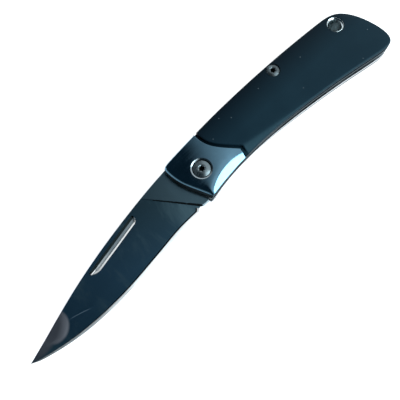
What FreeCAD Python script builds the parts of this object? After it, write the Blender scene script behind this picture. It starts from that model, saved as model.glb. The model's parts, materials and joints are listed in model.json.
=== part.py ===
import FreeCAD, Part
import math
import os
from types import SimpleNamespace

import Sketcher

# A slip-joint folding knife, lying open on its far side.
# X runs from the blade's tip to the butt, Y towards the back and Z up through the near side.
# The origin is the middle of the knife's box, on the surface it lies on. Every piece is drawn
# around the pivot, so a reach, height or depth below is counted from the pivot's axis.

SIZES = {
    # The whole knife
    "blade_reach": 72.4,
    "handle_reach": 76.8,
    "front_reach": 8.4,
    "bolster_reach": 13.2,
    "back_height": 11.0,
    "belly_depth": 11.2,
    "edge_depth": 12.1,
    "tip_drop": 7.8,
    # Layers, from one face to the other
    "scale_thick": 2.0,
    "liner_thick": 0.8,
    "washer_thick": 0.15,
    "blade_thick": 2.0,
    "blade_play": 0.02,
    # Outer edges of scales and bolsters
    "edge_chamfer": 0.35,
    "joint_gap": 0.12,
    "groove_width": 1.2,
    "groove_depth": 1.55,
    "recess_break": 0.12,
    "facet_angle": 30.0,
    "facet_radius": 20.3,
    # Blade
    "plunge_reach": 19.1,
    "bevel_width": 0.75,
    "bevel_thick": 0.5,
    "choil_radius": 1.55,
    "nick_length": 19.4,
    "nick_width": 1.9,
    "nick_depth": 0.55,
    "nick_turn": 13.1,
    # Tang and spring
    "tang_reach": 5.0,
    "tang_round": 3.5,
    "closed_flat_run": 4.9,
    "fold_angle": 168.0,
    "nose_reach": 5.0,
    "spring_gap": 0.02,
    # Pivot
    "pivot_barrel_radius": 2.5,
    "pivot_bore_radius": 1.2,
    "running_clearance": 0.02,
    "washer_radius": 4.5,
    "pivot_head_radius": 2.7,
    "pivot_head_height": 1.22,
    "pivot_recess_radius": 2.95,
    "pivot_recess_depth": 1.25,
    "recess_chamfer": 0.25,
    "recess_chamfer_width": 0.65,
    # Body screw
    "body_barrel_radius": 1.6,
    "body_bore_radius": 0.95,
    "body_head_radius": 2.15,
    "body_head_height": 0.85,
    "body_recess_radius": 2.3,
    "body_recess_depth": 0.95,
    # Lanyard tube
    "lanyard_bore_radius": 2.2,
    "tube_wall": 0.3,
    "rim_radius": 2.85,
    "rim_thick": 0.5,
    "rim_inset": 0.06,
    "rim_flare": 0.25,
    # Small countersunk screws, driven from inside the liners
    "small_head_radius": 1.5,
    "small_head_height": 0.6,
    "small_shank_radius": 0.75,
    "small_screw_length": 1.9,
    # Fits between fixed pieces, the space between two screw tips, and how far a cut runs past its piece
    "location_clearance": 0.02,
    "shank_gap": 0.3,
    "overrun": 2.0,
}

doc = FreeCAD.newDocument("pocket_knife")
sheet = doc.addObject("Spreadsheet::Sheet", "size")
for row, (alias, number) in enumerate(SIZES.items(), start=1):
    sheet.set(f"A{row}", alias)
    sheet.set(f"B{row}", str(number))
    sheet.setAlias(f"B{row}", alias)
doc.recompute()


class Size:
    """A length or an angle, with the sheet formula that it comes from."""

    def __init__(self, value, formula):
        self.value = value
        self.formula = formula

    def __add__(self, other):
        return Size(self.value + other.value, f"({self.formula} + {other.formula})")

    def __sub__(self, other):
        return Size(self.value - other.value, f"({self.formula} - {other.formula})")

    def __neg__(self):
        return Size(-self.value, f"(-{self.formula})")

    def __mul__(self, other):
        if not isinstance(other, Size):
            other = Size(other, f"({other})")
        return Size(self.value * other.value, f"({self.formula} * {other.formula})")

    def __truediv__(self, other):
        if not isinstance(other, Size):
            other = Size(other, f"({other})")
        return Size(self.value / other.value, f"({self.formula} / {other.formula})")


def sine(angle):
    return Size(math.sin(math.radians(angle.value)), f"sin({angle.formula})")


def cosine(angle):
    return Size(math.cos(math.radians(angle.value)), f"cos({angle.formula})")


def slope_of(angle):
    return Size(math.tan(math.radians(angle.value)), f"tan({angle.formula})")


s = SimpleNamespace(**{alias: Size(float(sheet.get(alias)), f"size.{alias}") for alias in SIZES})
ZERO = Size(0.0, "0")

# Heights of the layers, worked out once for every piece
liner_space = s.blade_thick + (s.washer_thick + s.blade_play) * 2
far_liner_z = s.scale_thick
slot_z = far_liner_z + s.liner_thick
near_liner_z = slot_z + liner_space
near_scale_z = near_liner_z + s.liner_thick
handle_thick = near_scale_z + s.scale_thick
middle_z = handle_thick / 2

# The pivot's place in the knife's box
pivot_x = (s.blade_reach - s.handle_reach) / 2
pivot_y = (s.edge_depth - s.back_height) / 2

tube_radius = s.lanyard_bore_radius + s.tube_wall


def bind(item, path, size):
    """Tie one property of a document object to the sheet."""
    item.setExpression(path, size.formula)


def new_body(label, z, at=(ZERO, ZERO)):
    """An empty body whose own origin is at a place around the pivot and at a height."""
    body = doc.addObject("PartDesign::Body", label)
    body.Label = label
    bind(body, "Placement.Base.x", pivot_x + at[0])
    bind(body, "Placement.Base.y", pivot_y + at[1])
    bind(body, "Placement.Base.z", z)
    return body


def sketch_on(body, name, role, offset=(ZERO, ZERO, ZERO)):
    """A sketch on one of the body's own planes, moved along the plane's axes by the offset."""
    sketch = body.newObject("Sketcher::SketchObject", name)
    plane = next(p for p in body.Origin.OriginFeatures if p.Role == role)
    sketch.AttachmentSupport = [(plane, "")]
    sketch.MapMode = "FlatFace"
    for axis, size in zip("xyz", offset):
        bind(sketch, f"AttachmentOffset.Base.{axis}", size)
    return sketch


def pin(sketch, geometry, end, point):
    """Hold one point of a sketch at sizes from the sheet."""
    for kind, size in zip(("DistanceX", "DistanceY"), point):
        index = sketch.addConstraint(Sketcher.Constraint(kind, -1, 1, geometry, end, size.value))
        bind(sketch, f"Constraints[{index}]", size)


def add_run(sketch, points):
    """A straight line through two points, or a smooth curve with the points as its poles."""
    places = [FreeCAD.Vector(x.value, y.value) for x, y in points]
    if len(points) == 2:
        run = sketch.addGeometry(Part.LineSegment(*places), False)
    else:
        degree = min(3, len(points) - 1)
        curve = Part.BSplineCurve(places, None, None, False, degree, None, False)
        run = sketch.addGeometry(curve, False)
        for index in range(1, len(points) - 1):
            pole = sketch.addGeometry(Part.Circle(places[index], FreeCAD.Vector(0, 0, 1), 1), True)
            aligned = "InternalAlignment:Sketcher::BSplineControlPoint"
            sketch.addConstraint(Sketcher.Constraint(aligned, pole, 3, run, index))
            sketch.addConstraint(Sketcher.Constraint("Weight", pole, 1.0))
            pin(sketch, pole, 3, points[index])
    pin(sketch, run, 1, points[0])
    return run


def add_outline(sketch, runs):
    """A closed outline of runs, each of which starts where the one before it ends."""
    made = [add_run(sketch, run) for run in runs]
    for run, following in zip(made, made[1:] + made[:1]):
        sketch.addConstraint(Sketcher.Constraint("Coincident", run, 2, following, 1))


def steps(points):
    """The straight lines from point to point."""
    return [list(side) for side in zip(points, points[1:])]


def sides(points):
    """The straight sides of a closed polygon."""
    return steps(points + points[:1])


def add_circle(sketch, centre, radius):
    place = FreeCAD.Vector(centre[0].value, centre[1].value)
    circle = sketch.addGeometry(Part.Circle(place, FreeCAD.Vector(0, 0, 1), radius.value), False)
    pin(sketch, circle, 3, centre)
    index = sketch.addConstraint(Sketcher.Constraint("Radius", circle, radius.value))
    bind(sketch, f"Constraints[{index}]", radius)


def pad(body, sketch, length, both_ways=False):
    feature = body.newObject("PartDesign::Pad", sketch.Name + "Pad")
    feature.Profile = sketch
    bind(feature, "Length", length)
    feature.SideType = "Symmetric" if both_ways else "One side"
    doc.recompute()


def cut(body, feature):
    """Finish a cut, which has to take something away."""
    before = body.Shape.Volume
    doc.recompute()
    if not body.Shape.Volume < before:
        raise RuntimeError(f"{feature.Name} cuts nothing from {body.Label}")


def pocket(body, sketch, length=None):
    """Cut a sketch's outline down to a depth, or with no depth right through both ways."""
    feature = body.newObject("PartDesign::Pocket", sketch.Name + "Pocket")
    feature.Profile = sketch
    if length is None:
        feature.Type = "ThroughAll"
        feature.SideType = "Symmetric"
    else:
        bind(feature, "Length", length)
    cut(body, feature)
    return feature


def turned_sketch(body, name, profile, at):
    """A half section beside an upright axis: each point is a radius and a height."""
    sketch = sketch_on(body, name, "XZ_Plane", (at[0], ZERO, -at[1]))
    add_outline(sketch, profile)
    return sketch


def turned(body, name, profile):
    sketch = turned_sketch(body, name, profile, (ZERO, ZERO))
    feature = body.newObject("PartDesign::Revolution", name + "Turn")
    feature.Profile = sketch
    feature.ReferenceAxis = (sketch, ["V_Axis"])
    doc.recompute()


def turned_cut(body, name, profile, at):
    sketch = turned_sketch(body, name, profile, at)
    feature = body.newObject("PartDesign::Groove", name + "Groove")
    feature.Profile = sketch
    feature.ReferenceAxis = (sketch, ["V_Axis"])
    cut(body, feature)


def holes(body, name, places):
    """Plain round holes right through a plate."""
    sketch = sketch_on(body, name, "XY_Plane")
    for centre, radius in places:
        add_circle(sketch, centre, radius)
    pocket(body, sketch)


# Edges lower than this share of the belly's depth are left to the facet
BROKEN_EDGE_SHARE = 0.4


def chamfer_top(body, size):
    """Break the edges around the outline of a plate's upper face, apart from those along the belly."""
    lowest = pivot_y - s.belly_depth * BROKEN_EDGE_SHARE
    highest = body.Shape.BoundBox.ZMax
    names = []
    for index, edge in enumerate(body.Shape.Edges, start=1):
        level = highest - edge.BoundBox.ZMin < size.value / 2
        if level and edge.CenterOfMass.y > lowest.value:
            names.append(f"Edge{index}")
    plate = body.Tip
    feature = body.newObject("PartDesign::Chamfer", body.Name + "EdgeChamfer")
    feature.Base = (plate, names)
    bind(feature, "Size", size)
    cut(body, feature)


def mirrored(label, near):
    """The far twin of a near piece, mirrored in the knife's middle plane."""
    far = doc.addObject("Part::Mirroring", label)
    far.Label = label
    far.Source = near
    far.Normal = FreeCAD.Vector(0, 0, 1)
    bind(far, "Base.z", middle_z)
    return far


# Handle outline, shared by liners, scales, bolsters and backspring: one smooth curve from the foot of the
# bolsters' front, along the back, round the butt and along the belly, and a short straight to close it
# Along the handle the shares are of the reach to its front, or of that to its butt behind the pivot.
# Across it they are of the back's height, or of the belly's depth below the pivot.
HANDLE_SHARES = (
    (-0.464, -0.759),
    (-0.652, -0.446),
    (-0.917, -0.05),
    (-1.004, 0.31),
    (-1.011, 0.709),
    (-0.868, 0.765),
    (-0.232, 0.805),
    (0.156, 0.932),
    (0.391, 1.002),
    (0.625, 1.004),
    (0.808, 0.952),
    (0.91, 0.919),
    (0.967, 0.435),
    (0.995, -0.158),
    (1.005, -0.729),
    (0.982, -1.014),
    (0.915, -0.999),
    (0.754, -0.807),
    (0.522, -0.621),
    (0.258, -0.493),
    (0.068, -0.585),
    (-0.238, -0.728),
)


def placed(shares, rear_reach=s.handle_reach):
    """Points around the pivot, from their shares of the handle's sizes on that side of it."""
    points = []
    for along, across in shares:
        reach = rear_reach if along > 0 else s.front_reach
        height = s.back_height if across > 0 else s.belly_depth
        points.append((reach * along, height * across))
    return points


def handle_plate(label, z, thick):
    body = new_body(label, z)
    sketch = sketch_on(body, label + "Outline", "XY_Plane")
    outline = placed(HANDLE_SHARES)
    add_outline(sketch, [outline, [outline[-1], outline[0]]])
    pad(body, sketch, thick)
    return body


# Places of the fasteners: the first two are shares as in the handle's outline, the others count the
# bolster's reach behind the pivot
BODY_SCREW_SHARES = (0.516, 0.769)
LANYARD_SHARES = (0.868, 0.553)
BOLSTER_SCREW_SHARES = ((-0.55, 0.38), (0.47, -0.17))
SCALE_SCREW_SHARES = (1.432, 0.15)

body_screw_at, lanyard_at = placed((BODY_SCREW_SHARES, LANYARD_SHARES))
front_bolster_screw_at, rear_bolster_screw_at, scale_screw_at = placed(
    (*BOLSTER_SCREW_SHARES, SCALE_SCREW_SHARES), s.bolster_reach
)


# Joint between bolster and scale, an S from above the back to a point towards the butt
# Shares are of the bolster's reach, and across the handle as in its outline.
JOINT_SHARES = ((0.47, 1.1), (0.421, 0.745), (0.455, 0.327), (0.794, -0.055), (1.0, -0.3))
JOINT_FOOT_SHARE = 0.879


def joint_cut(body, name, far_x, gap, depth=None):
    """Cut a plate off at the joint moved by a gap, from there as far as far_x, or only down to a depth."""
    joint = [(x + gap, y) for x, y in placed(JOINT_SHARES, s.bolster_reach)]
    below = -(s.belly_depth + s.overrun)
    foot = (s.bolster_reach * JOINT_FOOT_SHARE + gap, below)
    corners = [joint[-1], foot, (far_x, below), (far_x, joint[0][1]), joint[0]]
    level = ZERO if depth is None else s.scale_thick
    sketch = sketch_on(body, body.Name + name, "XY_Plane", (ZERO, ZERO, level))
    add_outline(sketch, [joint] + steps(corners))
    pocket(body, sketch, depth)


# Blade: a tang and ricasso of full thickness, and a flat grind lofted from spine to edge
# Each station gives shares of the blade's reach, of the spine's fall from bolster to tip, of the edge's
# depth, of the blade's thickness and of the bevel's size.
SPINE_ROOT_SHARE = 0.772
STATION_SHARES = (
    (0.083, 0.0, 0.694, 0.98, 1.0),
    (0.221, 0.089, 0.74, 0.98, 1.0),
    (0.387, 0.221, 0.864, 0.98, 1.0),
    (0.552, 0.383, 0.975, 0.98, 1.0),
    (0.691, 0.549, 1.0, 0.92, 1.0),
    (0.815, 0.727, 0.946, 0.76, 0.9),
    (0.912, 0.874, 0.839, 0.46, 0.7),
    (0.974, 0.963, 0.731, 0.2, 0.4),
    (1.0, 1.0, 0.657, 0.08, 0.08),
)
KICK_SHARES = ((-0.524, -0.705), (-0.786, -0.705))
CHOIL_SHARES = (-0.92, -0.808)
PLUNGE_TOP_SHARE = 0.582
NICK_END_SHARES = (-0.351, 0.354)
NICK_RISE_SHARE = 0.5


def grind_section(body, number, shares):
    """One cross-section of the ground blade, square to X: spine, two bevel shoulders and the edge."""
    along, fall, depth, thick, bevel = shares
    spine_root = s.back_height * SPINE_ROOT_SHARE
    spine = spine_root - (spine_root + s.tip_drop) * fall
    edge = -s.edge_depth * depth
    shoulder = edge + s.bevel_width * bevel
    half_spine = s.blade_thick * thick / 2
    half_shoulder = s.bevel_thick * bevel / 2
    sketch = sketch_on(body, f"Grind{number}", "YZ_Plane", (ZERO, ZERO, -s.blade_reach * along))
    points = [
        (spine, half_spine),
        (spine, -half_spine),
        (shoulder, -half_shoulder),
        (edge, ZERO),
        (shoulder, half_shoulder),
    ]
    add_outline(sketch, sides(points))
    return sketch


def make_blade():
    body = new_body("blade", middle_z)
    # The tang has one flat for the open blade and one for the closed, both at the same reach
    turn_in = sine(s.fold_angle)
    turn_up = cosine(s.fold_angle)
    shoulder_x = -(s.nose_reach + s.spring_gap)
    heel = (s.tang_reach, s.tang_reach * (Size(1.0, "1") - turn_in) / turn_up)
    flat_end = (
        s.tang_reach * turn_in + s.closed_flat_run * turn_up,
        s.tang_reach * turn_up - s.closed_flat_run * turn_in,
    )
    kick = placed(KICK_SHARES)
    plunge_top = (-s.plunge_reach, s.back_height * PLUNGE_TOP_SHARE)
    spine_end = (shoulder_x, s.back_height * SPINE_ROOT_SHARE)
    tang = sketch_on(body, "Tang", "XY_Plane")
    crown = (s.tang_reach, s.tang_reach)
    corners = [(shoulder_x, s.tang_reach), crown, heel, flat_end, *kick, plunge_top, spine_end]
    add_outline(tang, sides(corners))
    pad(body, tang, s.blade_thick, both_ways=True)
    # Both corners of the tang are rounded, so that the spring rides over them
    rounded = []
    for index, edge in enumerate(body.Shape.Edges, start=1):
        middle = edge.CenterOfMass - body.Placement.Base
        upright = edge.BoundBox.ZLength > s.blade_thick.value / 2
        corner = any(
            math.hypot(middle.x - x.value, middle.y - y.value) < s.spring_gap.value for x, y in (crown, heel)
        )
        if upright and corner:
            rounded.append(f"Edge{index}")
    squared = body.Tip
    fillet = body.newObject("PartDesign::Fillet", "TangRound")
    fillet.Base = (squared, rounded)
    bind(fillet, "Radius", s.tang_round)
    cut(body, fillet)
    sections = [grind_section(body, number, shares) for number, shares in enumerate(STATION_SHARES)]
    loft = body.newObject("PartDesign::AdditiveLoft", "Grind")
    loft.Profile = sections[0]
    loft.Sections = sections[1:]
    doc.recompute()
    holes(
        body,
        "BladeHoles",
        [
            ((ZERO, ZERO), s.pivot_barrel_radius + s.running_clearance),
            ((s.front_reach * CHOIL_SHARES[0], s.belly_depth * CHOIL_SHARES[1]), s.choil_radius),
        ],
    )
    # Nail nick: an upright wall towards the spine and a floor that rises towards the edge
    nick = sketch_on(
        body,
        "Nick",
        "YZ_Plane",
        (s.back_height * NICK_END_SHARES[1], ZERO, s.blade_reach * NICK_END_SHARES[0]),
    )
    upright = FreeCAD.Rotation(FreeCAD.Vector(0, 1, 0), s.nick_turn.value)
    nick.AttachmentOffset = FreeCAD.Placement(nick.AttachmentOffset.Base, upright)
    bind(nick, "AttachmentOffset.Rotation.Angle", s.nick_turn)
    face = s.blade_thick / 2
    floor = face - s.nick_depth
    rise = s.nick_depth * NICK_RISE_SHARE
    points = [
        (ZERO, floor),
        (ZERO, face + s.overrun),
        (-s.nick_width, face + s.overrun),
        (-s.nick_width, floor + rise),
    ]
    add_outline(nick, sides(points))
    pocket(body, nick, s.nick_length)
    return body


# Backspring: its lower side is shares as in the handle's outline, and its step one of the tang's reach
SPRING_SHARES = ((0.07, 0.636), (0.182, 0.67), (0.365, 0.618), (0.52, 0.364), (0.7, 0.418), (0.83, 0.127))
SPRING_STEP_SHARE = 0.88
SPRING_END_SHARE = 0.11


def make_backspring():
    """Leaf spring along the back: a nose on the tang, a thin waist, and a boss round each fastener."""
    body = handle_plate("backspring", slot_z, liner_space)
    nose_y = s.tang_reach + s.spring_gap
    above = s.back_height + s.overrun
    below = -(s.belly_depth + s.overrun)
    beyond = s.handle_reach + s.overrun
    ahead = -(s.front_reach + s.overrun)
    waist = placed(SPRING_SHARES)
    step_foot = (s.tang_reach * SPRING_STEP_SHARE, nose_y)
    end = (beyond, s.back_height * SPRING_END_SHARE)
    sketch = sketch_on(body, "SpringRoom", "XY_Plane")
    corners = [
        end,
        (beyond, below),
        (ahead, below),
        (ahead, above),
        (-s.nose_reach, above),
        (-s.nose_reach, nose_y),
        step_foot,
        waist[0],
    ]
    add_outline(sketch, steps(corners) + [waist + [end]])
    pocket(body, sketch)
    holes(
        body,
        "SpringHoles",
        [
            (body_screw_at, s.body_barrel_radius + s.location_clearance),
            (lanyard_at, tube_radius + s.location_clearance),
        ],
    )
    return body


def countersunk_profile(clearance):
    """Half section of a small countersunk screw, head down at height zero."""
    head = s.small_head_radius + clearance
    shank = s.small_shank_radius + clearance
    tip = s.small_screw_length + clearance
    return [(ZERO, ZERO), (head, ZERO), (shank, s.small_head_height), (shank, tip), (ZERO, tip)]


def make_liner():
    body = handle_plate("near_liner", near_liner_z, s.liner_thick)
    holes(
        body,
        "LinerHoles",
        [
            ((ZERO, ZERO), s.pivot_barrel_radius + s.location_clearance),
            (body_screw_at, s.body_barrel_radius + s.location_clearance),
            (lanyard_at, tube_radius + s.location_clearance),
        ],
    )
    places = {"Front": front_bolster_screw_at, "Rear": rear_bolster_screw_at, "Scale": scale_screw_at}
    for name, at in places.items():
        turned_cut(body, f"Liner{name}Sink", sides(countersunk_profile(s.location_clearance)), at)
    return body


def blind_hole(body, name, at):
    """The threaded hole in a bolster or scale for a small screw that comes through the liner."""
    radius = s.small_shank_radius + s.location_clearance
    depth = s.small_screw_length - s.liner_thick + s.location_clearance
    turned_cut(body, name, sides([(ZERO, ZERO), (radius, ZERO), (radius, depth), (ZERO, depth)]), at)


def head_recess(body, name, at, radius, depth, shank_radius, rim_drop, rim_width):
    """A flat-bottomed recess for a screw head, with a bevelled rim and a hole for the shank."""
    top = s.scale_thick
    floor = top - depth
    points = [
        (ZERO, ZERO),
        (shank_radius, ZERO),
        (shank_radius, floor),
        (radius, floor),
        (radius, top - rim_drop),
        (radius + rim_width, top),
        (radius + rim_width, top + s.overrun),
        (ZERO, top + s.overrun),
    ]
    turned_cut(body, name, sides(points), at)


# Facet along the belly: an arc on the bolster, straight on the scale
# Shares are of the bolster's reach and of the belly's depth.
FACET_CENTRE_SHARE = 0.665
FACET_TOP_SHARE = 0.363
FACET_PIVOT_SHARE = 0.096
FACET_BUTT_SHARE = 1.073


def make_bolster():
    body = handle_plate("near_bolster", near_scale_z, s.scale_thick)
    joint_cut(body, "Rear", s.handle_reach + s.overrun, ZERO)
    chamfer_top(body, s.edge_chamfer)
    spread = slope_of(s.facet_angle)
    facet_at = (
        s.bolster_reach * FACET_CENTRE_SHARE,
        -(s.belly_depth * FACET_TOP_SHARE + s.facet_radius),
    )
    points = [
        (ZERO, ZERO),
        (s.facet_radius - s.scale_thick / spread, ZERO),
        (s.facet_radius + s.overrun / spread, s.scale_thick + s.overrun),
        (ZERO, s.scale_thick + s.overrun),
    ]
    turned_cut(body, "BolsterFacet", sides(points), facet_at)
    shank = s.pivot_bore_radius + s.location_clearance
    head_recess(
        body,
        "PivotRecess",
        (ZERO, ZERO),
        s.pivot_recess_radius,
        s.pivot_recess_depth,
        shank,
        s.recess_chamfer,
        s.recess_chamfer_width,
    )
    blind_hole(body, "BolsterFrontThread", front_bolster_screw_at)
    blind_hole(body, "BolsterRearThread", rear_bolster_screw_at)
    return body


def facet_section(body, name, along, inner):
    """A wedge above the facet, square to X, from the facet's inner line out past the belly."""
    sketch = sketch_on(body, name, "YZ_Plane", (ZERO, ZERO, along))
    reach = s.belly_depth
    fall = reach * slope_of(s.facet_angle)
    top = s.scale_thick
    add_outline(sketch, sides([(inner, top), (inner - reach, top), (inner - reach, top - fall)]))
    return sketch


def make_scale():
    body = handle_plate("near_scale", near_scale_z, s.scale_thick)
    far_x = -(s.front_reach + s.overrun)
    joint_cut(body, "Front", far_x, s.joint_gap)
    joint_cut(body, "Groove", far_x, s.joint_gap + s.groove_width, s.groove_depth)
    chamfer_top(body, s.edge_chamfer)
    fore = facet_section(body, "FacetFore", ZERO, -s.belly_depth * FACET_PIVOT_SHARE)
    aft = facet_section(body, "FacetAft", s.handle_reach + s.overrun, -s.belly_depth * FACET_BUTT_SHARE)
    loft = body.newObject("PartDesign::SubtractiveLoft", "ScaleFacet")
    loft.Profile = fore
    loft.Sections = [aft]
    cut(body, loft)
    shank = s.body_bore_radius + s.location_clearance
    head_recess(
        body,
        "BodyRecess",
        body_screw_at,
        s.body_recess_radius,
        s.body_recess_depth,
        shank,
        s.recess_break,
        s.recess_break,
    )
    rim = s.rim_radius + s.location_clearance
    hole = tube_radius + s.location_clearance
    sunk = s.rim_inset + s.rim_thick
    head_recess(body, "RimRecess", lanyard_at, rim, sunk, hole, s.recess_break, s.recess_break)
    blind_hole(body, "ScaleThread", scale_screw_at)
    return body


# Screw heads: the dome and the six-lobed socket are shares of the head
DOME_RIM_SHARE = 0.45
DOME_POLE_SHARE = 0.7
SOCKET_SHARE = 0.4
LOBE_SHARE = 0.14
SOCKET_DEPTH_SHARE = 0.6
LOBE_COUNT = 6
FULL_TURN = 360


def make_button_screw(label, at, recess_depth, head_radius, head_height, bore_radius):
    """A domed screw whose head sits on its recess's floor and whose shank is in the barrel."""
    body = new_body(label, handle_thick - recess_depth, at)
    reach = s.scale_thick - recess_depth + s.liner_thick + (liner_space - s.shank_gap) / 2
    shank = bore_radius - s.location_clearance
    rim = (head_radius, head_height * DOME_RIM_SHARE)
    crown = (ZERO, head_height)
    straight = [crown, (ZERO, -reach), (shank, -reach), (shank, ZERO), (head_radius, ZERO), rim]
    dome = [[rim, (head_radius * DOME_POLE_SHARE, head_height), crown]]
    turned(body, label + "Section", steps(straight) + dome)
    depth = head_height * SOCKET_DEPTH_SHARE
    socket = sketch_on(body, label + "Socket", "XY_Plane", (ZERO, ZERO, head_height))
    add_circle(socket, (ZERO, ZERO), head_radius * SOCKET_SHARE)
    pocket(body, socket, depth)
    lobe = sketch_on(body, label + "Lobe", "XY_Plane", (ZERO, ZERO, head_height))
    add_circle(lobe, (head_radius * SOCKET_SHARE, ZERO), head_radius * LOBE_SHARE)
    first = pocket(body, lobe, depth)
    lobes = body.newObject("PartDesign::PolarPattern", label + "Lobes")
    lobes.Originals = [first]
    lobes.Axis = (lobe, ["N_Axis"])
    lobes.Angle = FULL_TURN
    lobes.Occurrences = LOBE_COUNT
    body.Tip = lobes
    cut(body, lobes)
    return body


def make_small_screw(label, at):
    body = new_body(label, near_liner_z, at)
    turned(body, label + "Section", sides(countersunk_profile(ZERO)))
    return body


def make_ring(label, z, thick, inner, outer, at=(ZERO, ZERO)):
    """A plain barrel or washer."""
    body = new_body(label, z, at)
    points = [(inner, ZERO), (outer, ZERO), (outer, thick), (inner, thick)]
    turned(body, label + "Section", sides(points))
    return body


def make_lanyard_tube():
    """Thin tube through the handle, its ends flared into rims that hold both scales."""
    body = new_body("lanyard_tube", s.rim_inset, lanyard_at)
    bore = s.lanyard_bore_radius
    length = handle_thick - s.rim_inset * 2
    lower = [
        (bore, s.rim_flare),
        (bore + s.rim_flare, ZERO),
        (s.rim_radius - s.rim_flare, ZERO),
        (s.rim_radius, s.rim_flare),
        (s.rim_radius, s.rim_thick),
        (tube_radius, s.rim_thick),
    ]
    upper = [(radius, length - height) for radius, height in reversed(lower)]
    turned(body, "TubeSection", sides(lower + upper))
    return body


blade = make_blade()
backspring = make_backspring()
near_liner = make_liner()
near_bolster = make_bolster()
near_scale = make_scale()

barrel_length = liner_space + s.liner_thick * 2
pivot_barrel = make_ring(
    "pivot_barrel", far_liner_z, barrel_length, s.pivot_bore_radius, s.pivot_barrel_radius
)
body_barrel = make_ring(
    "body_barrel", far_liner_z, barrel_length, s.body_bore_radius, s.body_barrel_radius, body_screw_at
)
near_washer = make_ring(
    "near_washer",
    near_liner_z - s.washer_thick,
    s.washer_thick,
    s.pivot_barrel_radius + s.running_clearance,
    s.washer_radius,
)
near_pivot_screw = make_button_screw(
    "near_pivot_screw",
    (ZERO, ZERO),
    s.pivot_recess_depth,
    s.pivot_head_radius,
    s.pivot_head_height,
    s.pivot_bore_radius,
)
near_body_screw = make_button_screw(
    "near_body_screw",
    body_screw_at,
    s.body_recess_depth,
    s.body_head_radius,
    s.body_head_height,
    s.body_bore_radius,
)
lanyard_tube = make_lanyard_tube()
near_scale_screw = make_small_screw("near_scale_screw", scale_screw_at)
near_bolster_screws = doc.addObject("Part::Compound", "near_bolster_screws")
near_bolster_screws.Links = [
    make_small_screw("front_bolster_screw", front_bolster_screw_at),
    make_small_screw("rear_bolster_screw", rear_bolster_screw_at),
]

nodes = [blade, backspring, pivot_barrel, body_barrel, lanyard_tube]
for near in (
    near_liner,
    near_bolster,
    near_scale,
    near_washer,
    near_pivot_screw,
    near_body_screw,
    near_scale_screw,
    near_bolster_screws,
):
    nodes += [near, mirrored(near.Label.replace("near_", "far_"), near)]
doc.recompute()

for item in doc.Objects:
    if "Invalid" in item.State or "Error" in item.State:
        raise RuntimeError(f"{item.Label} did not build: {item.State}")
for node in nodes:
    if node.Shape.isNull() or not node.Shape.isValid():
        raise RuntimeError(f"{node.Label} has no valid shape")

os.makedirs("parts", exist_ok=True)
for node in nodes:
    node.Shape.exportStep(f"parts/{node.Label}.step")
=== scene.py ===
import json

import bmesh
import bpy
import numpy as np
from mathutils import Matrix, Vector


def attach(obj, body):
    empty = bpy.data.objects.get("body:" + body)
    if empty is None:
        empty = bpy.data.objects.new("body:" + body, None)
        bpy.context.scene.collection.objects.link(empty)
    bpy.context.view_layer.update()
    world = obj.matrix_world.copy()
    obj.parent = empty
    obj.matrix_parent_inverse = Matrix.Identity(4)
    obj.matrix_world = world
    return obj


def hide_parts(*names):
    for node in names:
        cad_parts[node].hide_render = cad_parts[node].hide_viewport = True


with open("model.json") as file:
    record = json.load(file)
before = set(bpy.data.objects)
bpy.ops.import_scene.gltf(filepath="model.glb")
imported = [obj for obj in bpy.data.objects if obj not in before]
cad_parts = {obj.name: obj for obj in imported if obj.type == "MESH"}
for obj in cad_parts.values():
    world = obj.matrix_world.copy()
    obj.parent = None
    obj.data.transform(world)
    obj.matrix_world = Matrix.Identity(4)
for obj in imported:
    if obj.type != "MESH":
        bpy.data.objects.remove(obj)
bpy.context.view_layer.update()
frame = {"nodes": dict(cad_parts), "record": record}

# Liners: two ground steel plates, blanked to the handle's outline, that everything else is fixed to.
# Only their edges show: the near one, darkened with painted shade, as a dull grey line along the belly,
# and the far one, lightened with painted light, as a bright strip below the slot.
MM = 0.001
WELD = 0.002 * MM
SHARP_ANGLE = np.radians(24)
GRAIN_SPAN = (0.3, 0.7)
CLOUD_SPAN = (0.35, 0.65)


def new_finish(name, colour, metallic, roughness, **even):
    """A material with one Principled shader, whose even values are set on its own sockets."""
    finish = bpy.data.materials.new(name)
    finish.use_nodes = True
    shader = finish.node_tree.nodes["Principled BSDF"]
    shader.inputs["Base Color"].default_value = (*colour, 1)
    shader.inputs["Metallic"].default_value = metallic
    shader.inputs["Roughness"].default_value = roughness
    for socket, value in even.items():
        shader.inputs[socket.replace("_", " ")].default_value = value
    return finish, shader


def add_node(kind, sockets, tree=None, **fields):
    """One more shader node: fields are its own settings, sockets take values or links.

    It joins the tree of its first link, unless it has none and the tree is given.
    """
    links = {key: value for key, value in sockets.items() if isinstance(value, bpy.types.NodeSocket)}
    tree = tree or next(iter(links.values())).id_data
    made = tree.nodes.new(kind)
    for field, value in fields.items():
        setattr(made, field, value)
    for key, value in sockets.items():
        if key in links:
            tree.links.new(value, made.inputs[key])
        else:
            made.inputs[key].default_value = value
    return made.outputs


def object_place(finish, centre=(0, 0, 0), turn=(0, 0, 0), stretch=(1, 1, 1)):
    """Object coordinates, centred on a point in metres, turned and then stretched."""
    place = add_node("ShaderNodeTexCoord", {}, finish.node_tree)["Object"]
    moved = add_node("ShaderNodeVectorMath", {0: place, 1: centre}, operation="SUBTRACT")[0]
    return add_node("ShaderNodeMapping", {"Vector": moved, "Rotation": turn, "Scale": stretch})[0]


def noise(place, scale, detail=3.0, rough=0.5, swirl=0.0):
    """Fractal noise from zero to one, nearly all of it within the grain's span."""
    sockets = {"Vector": place, "Scale": scale, "Detail": detail, "Roughness": rough, "Distortion": swirl}
    return add_node("ShaderNodeTexNoise", sockets)[0]


def spread(value, low, high, to_low=0.0, to_high=1.0):
    """A value between low and high, moved to between to_low and to_high and held there."""
    sockets = {0: value, 1: low, 2: high, 3: to_low, 4: to_high}
    return add_node("ShaderNodeMapRange", sockets)[0]


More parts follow.
